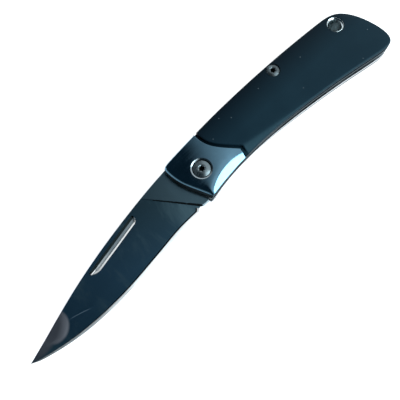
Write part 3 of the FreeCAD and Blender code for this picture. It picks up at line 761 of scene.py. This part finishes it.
def sunk_hole(plan, marks, centre, reach, top, profile, shank, rim_mark=0):
    """Open a round recess in a grid: a block of lines around it gives way to rings from its border inwards.

    The profile lists pairs of a radius and a drop. A drop under the rim's depth follows the face, and a
    deeper one is level. The floor is pierced by the shank's hole, which runs down to the underside. The
    rim's bevel takes its own mark.
    """
    near = np.linalg.norm(plan - centre, axis=-1) < reach
    i = np.flatnonzero(near.any(axis=1))
    j = np.flatnonzero(near.any(axis=0))
    a, b = i[0] - 1, i[-1] + 1
    c, d = max(j[0] - 1, 1), min(j[-1] + 1, plan.shape[1] - 2)
    marks[a:b, c:d] = -1
    sides = [plan[a:b, c], plan[b, c:d], plan[b:a:-1, d], plan[a, d:c:-1], plan[a : a + 1, c]]
    border = np.concatenate(sides)
    rim = ring_of(border, centre, profile[0][0])
    around = border + RING_SHARES * (rim - border)
    upper = at_height(around, top(around))
    rim_height = upper[-1, :, 2]
    sunk = [upper[-1]]
    for radius, drop in profile[1:]:
        level = rim_height - drop if drop < RIM_DEPTH else np.full(len(border), CHEEK_TOP - drop)
        sunk.append(at_height(ring_of(border, centre, radius), level))
    bore = ring_of(border, centre, shank)
    sunk.append(at_height(bore, sunk[-1][:, 2]))
    sunk.append(at_height(bore, CHEEK_BOTTOM))
    under = border + np.linspace(0, 1, len(RING_SHARES))[:, None, None] * (bore - border)
    sunk_marks = np.array([[rim_mark], [1], [1], [1]])
    return [(upper, 0), (np.stack(sunk), sunk_marks), (at_height(under, CHEEK_BOTTOM), 0)]


def cheek(name, sheets, top, border, finishes, far):
    """A bolster or scale: face, wall round the outline and flat underside.

    The finishes are those of the face, the wall and, on a bolster, the recess.
    """
    patches = []
    for plan, marks, extra in sheets:
        patches += [(at_height(plan, top(plan)), marks), (at_height(plan, CHEEK_BOTTOM), marks)] + extra
    for line in border:
        patches.append((wall(at_height(line, top(line)), at_height(line, CHEEK_BOTTOM)), 1))
    return make_piece(name, patches, finishes, far)


back_cross, belly_cross = joint_crossings(0.0)
front_top = int((handle_line[:FRONT_POINTS] @ [-1, 1]).argmax())
bolster_front = handle_line[: front_top + 1]
bolster_back = handle_line[front_top : back_cross + 2]
bolster_belly = np.concatenate([handle_line[:1], handle_line[:belly_cross:-1]])
bolster_joint = joint_part(0.0, bolster_belly[-1, 1], bolster_back[-1, 1])
bolster_joint[[0, -1]] = bolster_belly[-1], bolster_back[-1]


def front_edge(plan):
    """Distance from the front edge, and the widths there of its bevel, painted dark as shade, and of its
    bright chamfer.

    Both widths shrink from the belly to the back.
    """
    gap, share = gap_to(plan, bolster_front[::THINNED])
    return gap, np.interp(share, [0, 0.3, 1], FRONT_BEVEL), np.interp(share, [0, 1], FRONT_REACH)


def bolster_top(plan):
    """Crowned face, conical facet, front chamfer or bevel: the lowest, less the borders' rounding."""
    x, y = plan[..., 0], plan[..., 1]
    crown = CHEEK_TOP - BOLSTER_CROWN * ((x - CROWN_AT[0]) ** 2 + (y - CROWN_AT[1]) ** 2)
    from_axis = np.hypot(x - BOLSTER_FACET_CENTRE[0], y - BOLSTER_FACET_CENTRE[1])
    facet = crown - (BOLSTER_FACET_RADIUS - from_axis) * BOLSTER_FACET_SLOPE
    borders = (
        (bolster_back[::THINNED], BACK_ROUND),
        (bolster_joint[::2], JOINT_ROUND),
        (bolster_belly[::THINNED], BELLY_ROUND),
    )
    fall = np.stack([rounded(gap_to(plan, line)[0], radius, radius) for line, radius in borders])
    gap, width, reach = front_edge(plan)
    chamfer = crown + (gap - width - reach) * FRONT_SLOPE
    bevel = crown - reach * FRONT_SLOPE + (gap - width) * FRONT_FALL
    face = lower_of(crown, facet, FACET_SOFTNESS)
    face = lower_of(face, chamfer, FRONT_SOFTNESS)
    face = lower_of(face, bevel, BEVEL_SOFTNESS)
    return np.maximum(face - fall.max(axis=0), CHEEK_BOTTOM + LEAST_WALL)


along, across = [crowded(count, CROWDING) for count in BOLSTER_LINES]
bolster_plan = filled(
    along_line(bolster_belly, along),
    along_line(bolster_back, along),
    along_line(bolster_front, across),
    along_line(bolster_joint, across),
    across,
    along,
)
bolster_plan = redivided(bolster_plan, BEVEL_LINES, front_edge(bolster_plan[0])[1])
bolster_marks = np.zeros((len(along) - 1, len(across) - 1), int)
# The front bevel's lines take the walls' near-black steel, painted shade
bolster_marks[:BEVEL_LINES] = 1
pivot_cut = (PIVOT_BLOCK, bolster_top, PIVOT_RECESS, PIVOT_SHANK)
pivot_hole = sunk_hole(bolster_plan, bolster_marks, np.zeros(2), *pivot_cut, rim_mark=2)
bolster_sheets = [(bolster_plan, bolster_marks, pivot_hole)]
bolster_border = [bolster_plan[:, 0], bolster_plan[:, -1], bolster_plan[0], bolster_plan[-1]]
satin_steel = ground_steel(
    "satin_bolster_steel", (0.15, 0.295, 0.40), roughness=0.12, lines=2600.0, turn=0.1, depth=0.001
)
# Painted shade: near-black steel on the bolsters' walls, their front bevel and inside the pivot's recess
bolster_shade_steel = ground_steel("shade_painted_bolster_wall", (0.012, 0.018, 0.022), 0.35, lines=1500.0, glance=0.2)
recess_steel = ground_steel("bright_recess_steel", (0.36, 0.43, 0.47), roughness=0.2, lines=2600.0)
for side in ("near", "far"):
    name = f"{side}_bolster_cap"
    finishes = [satin_steel, bolster_shade_steel, recess_steel]
    bolster = cheek(name, bolster_sheets, bolster_top, bolster_border, finishes, side == "far")
    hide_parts(f"{side}_bolster")
    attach(bolster, "handle")

# Scales: slabs of dark matte composite from the joint to the butt, with rounded edges and a long facet
# along the belly. The eyelet, the body screw and one screw from inside the liner hold each one.
JOINT_GAP = 0.12
SCALE_FACET_SLOPE = np.tan(np.radians(30))
SCALE_FACET_AT_PIVOT = -1.075
SCALE_FACET_SLANT = -0.1389
SCALE_PILLOW = 0.12
SCALE_PILLOW_REACH = 5.0
SCALE_CREST_SOFTNESS = 0.35
LEDGE_WIDTH = 0.95
LEDGE_DROP = 1.55
LEDGE_ROUND = 0.3
LEDGE_WALL = 0.08
BODY_SCREW_AT = np.array([39.63, 8.46])
EYELET_AT = np.array([66.66, 6.08])
BODY_RECESS = [(2.42, 0), (2.31, 0.12), (2.3, 0.95)]
EYELET_RECESS = [(2.99, 0), (2.88, 0.12), (2.87, 0.56)]
SCREW_BLOCK = 3.0
SCREW_SHANK = 0.97
EYELET_BLOCK = 3.8
TUBE_HOLE = 2.52
JOINT_TIP = JOINT_POLES[-1] + [JOINT_GAP, 0]
SCALE_MIDDLE = np.array([JOINT_TIP, (25.0, 0.5), (42.0, 2.0), (58.0, 0.0)])
BUTT_POINTS = (1500, 2300)
BUTT_SPLIT = -1.5
OUTLINE_STEP = 6
SCALE_LINES = (260, 56)
SCALE_CROWDING = 0.8
INWARD_POWER = 1.6
EDGE_SHARES = [0, 0.55, 0.62, 1]
EDGE_ROUNDS = [0.5, 0.5, 0.6, 0.6]

scale_back_cross, scale_belly_cross = joint_crossings(JOINT_GAP)
butt_middle = BUTT_POINTS[0] + int(np.abs(handle_line[slice(*BUTT_POINTS), 1] - BUTT_SPLIT).argmin())
scale_upper = handle_line[scale_back_cross + 1 : butt_middle + 1]
scale_lower = handle_line[scale_belly_cross : butt_middle - 1 : -1]
joint_upper = joint_part(JOINT_GAP, JOINT_TIP[1], scale_upper[0, 1])
joint_lower = joint_part(JOINT_GAP, scale_lower[0, 1], JOINT_TIP[1])
joint_upper[-1], joint_lower[0] = scale_upper[0], scale_lower[0]
scale_outline = np.concatenate([scale_upper[:-1], scale_lower[::-1]])[::OUTLINE_STEP]
scale_joint = np.concatenate([joint_lower, joint_upper[1:]])


def scale_top(plan):
    """Face with pillowed borders and a long flat facet, whichever is lower, less the edges' rounding.

    A narrow ledge along the joint lies lower than both.
    """
    x, y = plan[..., 0], plan[..., 1]
    gap, share = gap_to(plan, scale_outline)
    radius = np.interp(share, EDGE_SHARES, EDGE_ROUNDS)
    face = CHEEK_TOP - SCALE_PILLOW * np.clip(1 - gap / SCALE_PILLOW_REACH, 0, 1) ** 2
    facet = CHEEK_TOP - (SCALE_FACET_AT_PIVOT + SCALE_FACET_SLANT * x - y) * SCALE_FACET_SLOPE
    fall = rounded(gap, radius, radius)
    from_joint = gap_to(plan, scale_joint)[0] - LEDGE_WIDTH
    fall = np.maximum(fall, rounded(from_joint, LEDGE_ROUND, LEDGE_ROUND))
    top = lower_of(face, facet, SCALE_CREST_SOFTNESS) - fall
    ledge = CHEEK_TOP - LEDGE_DROP
    top = np.where(from_joint < 0, ledge + (top - ledge) * np.clip(1 + from_joint / LEDGE_WALL, 0, 1), top)
    return np.maximum(top, CHEEK_BOTTOM + LEAST_WALL)


# Lines crowd together towards the joint and the outline
along = crowded(SCALE_LINES[0], SCALE_CROWDING, ends=1)
inwards = np.linspace(0, 1, SCALE_LINES[1]) ** INWARD_POWER
middle = along_line(spline(SCALE_MIDDLE, CURVE_POINTS), along)


def half_scale(outline, joint):
    """Grid of the slab's upper or lower half, from its outline to the middle line."""
    butt = along_line(np.stack([outline[-1], middle[-1]]), inwards)
    return filled(along_line(outline, along), middle, along_line(joint, inwards), butt, inwards, along)


upper_plan = half_scale(scale_upper, joint_upper[::-1])
lower_plan = half_scale(scale_lower, joint_lower)
upper_marks = np.zeros((len(along) - 1, len(inwards) - 1), int)
holes = []
for centre, reach, recess, shank in (
    (BODY_SCREW_AT, SCREW_BLOCK, BODY_RECESS, SCREW_SHANK),
    (EYELET_AT, EYELET_BLOCK, EYELET_RECESS, TUBE_HOLE),
):
    holes += sunk_hole(upper_plan, upper_marks, centre, reach, scale_top, recess, shank)
scale_sheets = [(upper_plan, upper_marks, holes), (lower_plan, 0, [])]
scale_border = [upper_plan[:, 0], lower_plan[:, 0], upper_plan[0], lower_plan[0]]


def matte_composite():
    """Dark composite: fine moulded grain, faint clouds, and a few pale specks of dust."""
    colour = (0.0058, 0.0205, 0.0345)
    cloudy = (0.0078, 0.0255, 0.0410)
    painted_back_shade = (0.0005, 0.0030, 0.0080)
    dust = (0.35, 0.42, 0.46)
    finish, shader = new_finish("matte_scale_composite", colour, 0.0, 0.55, Specular_IOR_Level=0.21)
    shader.inputs["Specular Tint"].default_value = (0.45, 0.85, 1.0, 1)
    place = object_place(finish)
    grain = noise(place, 5200.0, 3.0, 0.6)
    cloud = noise(place, 90.0, 4.0)
    sockets = {"Vector": place, "Scale": 125.0}
    specks = add_node("ShaderNodeTexVoronoi", sockets, feature="F1", voronoi_dimensions="2D")
    dot = spread(specks["Distance"], 0.008, 0.02, 0.6, 0)
    picked = add_node("ShaderNodeSeparateColor", {0: specks["Color"]})[0]
    dot = calc("MULTIPLY", dot, calc("GREATER_THAN", picked, 0.62))
    shade = tint(spread(cloud, *CLOUD_SPAN), colour, cloudy)
    # Painted shade: the composite is darker towards the back
    up = add_node("ShaderNodeSeparateXYZ", {0: pivot_place(finish, (0, 0))})[1]
    up = calc("MULTIPLY_ADD", cloud, 2.0 * MM, up)
    shade = tint(spread(up, 2.0 * MM, 11.5 * MM), shade, painted_back_shade)
    wire(tint(dot, shade, dust), shader, "Base Color")
    wire(spread(grain, *GRAIN_SPAN, 0.38, 0.50), shader, "Roughness")
    bump(shader, grain, 0.3, 0.012)
    return finish


scale_composite = matte_composite()


def composite_edge(name, dark, light, roughness, specular):
    """The slab's edge: noise drawn out along the handle, in colour and bump, rough and matte or glossy."""
    finish, shader = new_finish(name, dark, 0.0, roughness, Specular_IOR_Level=specular)
    streaks = noise(object_place(finish, stretch=(0.1, 1, 1)), 2500.0)
    wire(tint(streaks, dark, light), shader, "Base Color")
    bump(shader, streaks, 0.4 * roughness, 0.02)
    return finish


# One edge in two copies: the near one darker and matte as painted shade, the far one glossy to show a
# bright strip as painted light
near_shade_edge = composite_edge(
    "shade_painted_composite_edge", (0.002, 0.007, 0.012), (0.006, 0.017, 0.026), roughness=0.9, specular=0.0
)
far_lit_edge = composite_edge(
    "lit_glossy_composite_edge", (0.006, 0.012, 0.018), (0.012, 0.021, 0.030), roughness=0.25, specular=0.4
)
for side, edge in (("near", near_shade_edge), ("far", far_lit_edge)):
    finishes = [scale_composite, edge]
    scale = cheek(f"{side}_scale_slab", scale_sheets, scale_top, scale_border, finishes, side == "far")
    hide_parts(f"{side}_scale")
    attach(scale, "handle")

# Pivot and body screws: turned steel buttons with six-lobed sockets, sunk in the bolsters and scales and
# threaded into their barrels from both sides.
LOBES = 6
LOBE_SWELL = 0.13
SCREW_STEPS = 96
DOME_ROWS = 10
DOME_FOOT = 0.66
MOUTH = 1.4
HEAD_EDGE = 0.05
SOCKET_DEPTH = (0.4, 0.6)
TIP_HEIGHT = 0.15
TIP_CHAMFER = 0.12
turn = np.linspace(0, 2 * np.pi, SCREW_STEPS + 1)
spokes = np.stack([np.cos(turn), np.sin(turn)], axis=-1)


def button_screw(name, at, head, socket, seat, shank, finish, far):
    """Rows of circles from the shank's tip to the socket's floor; the socket's rows swell in six lobes.

    The head's radius and height give a quarter sine for its dome.
    """
    head_radius, head_height = head
    lobed = 1 + LOBE_SWELL * np.cos(LOBES * turn)
    angle = np.linspace(0, 1, DOME_ROWS)
    dome_radius = head_radius - (head_radius - MOUTH * socket) * angle
    dome_height = head_height * (DOME_FOOT + (1 - DOME_FOOT) * np.sin(angle * np.pi / 2))
    rows = [
        (0, TIP_HEIGHT),
        (shank - TIP_CHAMFER, TIP_HEIGHT),
        (shank, TIP_HEIGHT + TIP_CHAMFER),
        (shank, seat),
        (head_radius - HEAD_EDGE, seat),
        (head_radius, seat + HEAD_EDGE),
    ]
    rows += [(r, seat + h) for r, h in zip(dome_radius, dome_height)]
    rows += [
        (socket * (MOUTH - HEAD_EDGE), seat + head_height),
        (socket * 1.1 * lobed, seat + 0.9 * head_height),
        (socket * lobed, seat + 0.82 * head_height),
        (socket * 0.96 * lobed, seat - SOCKET_DEPTH[0]),
        (0, seat - SOCKET_DEPTH[1]),
    ]
    grid = np.stack([at_height(at + spokes * np.broadcast_to(r, turn.shape)[:, None], h) for r, h in rows])
    # The sockets take the near-black steel of painted shade
    in_socket = np.arange(len(rows) - 1) >= len(rows) - 3
    return make_piece(name, [(grid, in_socket[:, None].astype(int))], [finish, shade_painted_steel], far)


def turned_steel(name, colour, roughness, at, drawn):
    """Lathe-turned steel: fine rings round the piece's own axis, and highlights drawn out across them."""
    finish, shader = new_finish(name, colour, 1.0, roughness, Anisotropic=drawn, Anisotropic_Rotation=0.25)
    place = pivot_place(finish, at, stretch=(1, 1, 0))
    sockets = {"Vector": place, "Scale": 1500.0, "Distortion": 0.6, "Detail": 2.0}
    rings = add_node("ShaderNodeTexWave", sockets, wave_type="RINGS", rings_direction="Z")[1]
    worn = noise(place, 900.0)
    rough = calc("ADD", spread(rings, 0, 1, -0.04, 0.04), roughness)
    rough = calc("ADD", rough, spread(worn, *GRAIN_SPAN, -0.05, 0.06))
    wire(rough, shader, "Roughness")
    mottle(shader, worn, colour, 0.7)
    bump(shader, rings, 0.15, 0.004)
    return finish


for kind, at, head, socket, recess, shank, colour, roughness in (
    ("pivot", np.zeros(2), (2.7, 1.22), 0.85, PIVOT_RECESS, 1.18, (0.27, 0.34, 0.37), 0.31),
    ("body", BODY_SCREW_AT, (2.15, 0.85), 0.84, BODY_RECESS, 0.93, (0.19, 0.235, 0.255), 0.40),
):
    seat = CHEEK_TOP - recess[-1][1]
    screw_steel = turned_steel(f"turned_{kind}_screw_steel", colour, roughness, at, drawn=0.8)
    for side in ("near", "far"):
        name = f"{side}_{kind}_button"
        screw = button_screw(name, at, head, socket, seat, shank, screw_steel, side == "far")
        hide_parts(f"{side}_{kind}_screw")
        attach(screw, "handle")

# Lanyard tube: a thin nickelled steel eyelet through the whole handle, its ends rolled over into rims.
# The rims hold both scales on the liners at the butt, and the bore takes a lanyard.
TUBE_BORE = 2.2
TUBE_OUTER = 2.5
RIM_OUTER = 2.85
RIM_TOP = CHEEK_TOP - 0.06
RIM_THICK = 0.5
RIM_CREST = 2.7
ROLL_DEPTH = 0.25
FLARE_TILT = np.radians([52, 33])
FLARE_ROWS = 14
ROLL_ROWS = 9
# The flare falls from the crest to the bore ever more steeply, and the outside is a quarter ellipse
flare_radii = np.linspace(TUBE_BORE, RIM_CREST, FLARE_ROWS)
flare_fall = np.tan(np.linspace(*FLARE_TILT, FLARE_ROWS)) * (RIM_CREST - TUBE_BORE) / (FLARE_ROWS - 1)
flare_heights = RIM_TOP - np.append(np.cumsum(flare_fall[:0:-1])[::-1], 0)
roll = np.linspace(np.pi / 2, np.pi, ROLL_ROWS)[1:]
roll_radii = RIM_CREST - (RIM_OUTER - RIM_CREST) * np.cos(roll)
roll_heights = RIM_TOP - ROLL_DEPTH * (1 - np.sin(roll))
half_radii = np.concatenate([flare_radii, roll_radii, [RIM_OUTER, TUBE_OUTER]])
half_heights = np.concatenate([flare_heights, roll_heights, [RIM_TOP - RIM_THICK, RIM_TOP - RIM_THICK]])
tube_radii = np.concatenate([half_radii, half_radii[::-1], half_radii[:1]])
tube_heights = np.concatenate([half_heights, -half_heights[::-1], half_heights[:1]])
tube_plan = EYELET_AT + tube_radii[:, None, None] * spokes
tube_grid = at_height(tube_plan, tube_heights[:, None])
bright_nickel = turned_steel("bright_eyelet_nickel", (0.78, 0.88, 0.91), 0.14, EYELET_AT, drawn=0.2)
eyelet = make_piece("lanyard_eyelet", [(tube_grid, 0)], [bright_nickel])
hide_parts("lanyard_tube")
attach(eyelet, "handle")

# Studio: a white table, a dark ceiling, a bright band low all round and a bright wall at the butt's side,
# a soft box on the belly's side, and the camera.
TABLE_REACH = 3.0
TABLE_LIFT = 0.85
SHADOW_REACH = 0.02
SHADOW_SPAN = (0.2, 0.45)
WALL_AXIS = (0.90, -0.43, 0)
WALL_SPAN = (0.06, 0.36)
BAND_SPAN = (0.50, 0.28)
CEILING = (0.014, 0.030, 0.042)
BRIGHT = (0.92, 0.97, 1.0)
LENS = 46.8
SENSOR = 36.0
CAMERA_AT = (-0.0412, -0.0394, 0.1535)
CAMERA_AIM = (0.208, 0.217, -0.954)
corner = np.array([[-1, -1, 0], [1, -1, 0], [1, 1, 0], [-1, 1, 0]]) * TABLE_REACH
table_mesh = bpy.data.meshes.new("table")
table_mesh.from_pydata(corner, [], [(0, 1, 2, 3)])
table = added("table", table_mesh)
paper, paper_shader = new_finish("white_paper", (0.86, 0.87, 0.88), 0.0, 0.9, Specular_IOR_Level=0.0)
table_mesh.materials.append(paper)
# The paper shows white to the eye and in reflections, but for the shadow round the knife
seen = add_node("ShaderNodeLightPath", {}, paper.node_tree)
shown = calc("MAXIMUM", seen["Is Camera Ray"], seen["Is Glossy Ray"])
shown = calc("MAXIMUM", shown, seen["Is Transmission Ray"])
open_sky = add_node("ShaderNodeAmbientOcclusion", {"Distance": SHADOW_REACH}, paper.node_tree)["AO"]
shown = calc("MULTIPLY", shown, spread(open_sky, *SHADOW_SPAN))
paper_shader.inputs["Emission Color"].default_value = (1, 1, 1, 1)
wire(calc("MULTIPLY", shown, TABLE_LIFT), paper_shader, "Emission Strength")

world = bpy.data.worlds.new("studio")
bpy.context.scene.world = world
world.use_nodes = True
background = world.node_tree.nodes["Background"]
direction = add_node("ShaderNodeTexCoord", {}, world.node_tree)["Generated"]
walled = spread(measured(direction, Vector(WALL_AXIS).normalized()), *WALL_SPAN)
banded = spread(measured(direction, (0, 0, 1)), *BAND_SPAN)
wire(tint(calc("MAXIMUM", walled, banded), CEILING, BRIGHT), background, "Color")

# The soft box faces the middle of the table, where the knife lies
lamp = bpy.data.lights.new("belly_box", "AREA")
lamp.color = (0.80, 0.96, 1.0)
lamp.shape = "RECTANGLE"
lamp.size = 0.9
lamp.size_y = 0.4
lamp.energy = 7.6
soft_box = added("belly_box", lamp)
soft_box.location = (0.34, -0.72, 0.6)
soft_box.rotation_euler = (-soft_box.location).to_track_quat("-Z", "Y").to_euler()

camera_data = bpy.data.cameras.new("camera")
camera_data.sensor_width = SENSOR
camera_data.lens = LENS
camera_data.clip_start = 0.01
camera = added("camera", camera_data)
camera.location = CAMERA_AT
camera.rotation_euler = Vector(CAMERA_AIM).to_track_quat("-Z", "Y").to_euler()
bpy.context.scene.camera = camera
bpy.context.scene.view_settings.view_transform = "Standard"
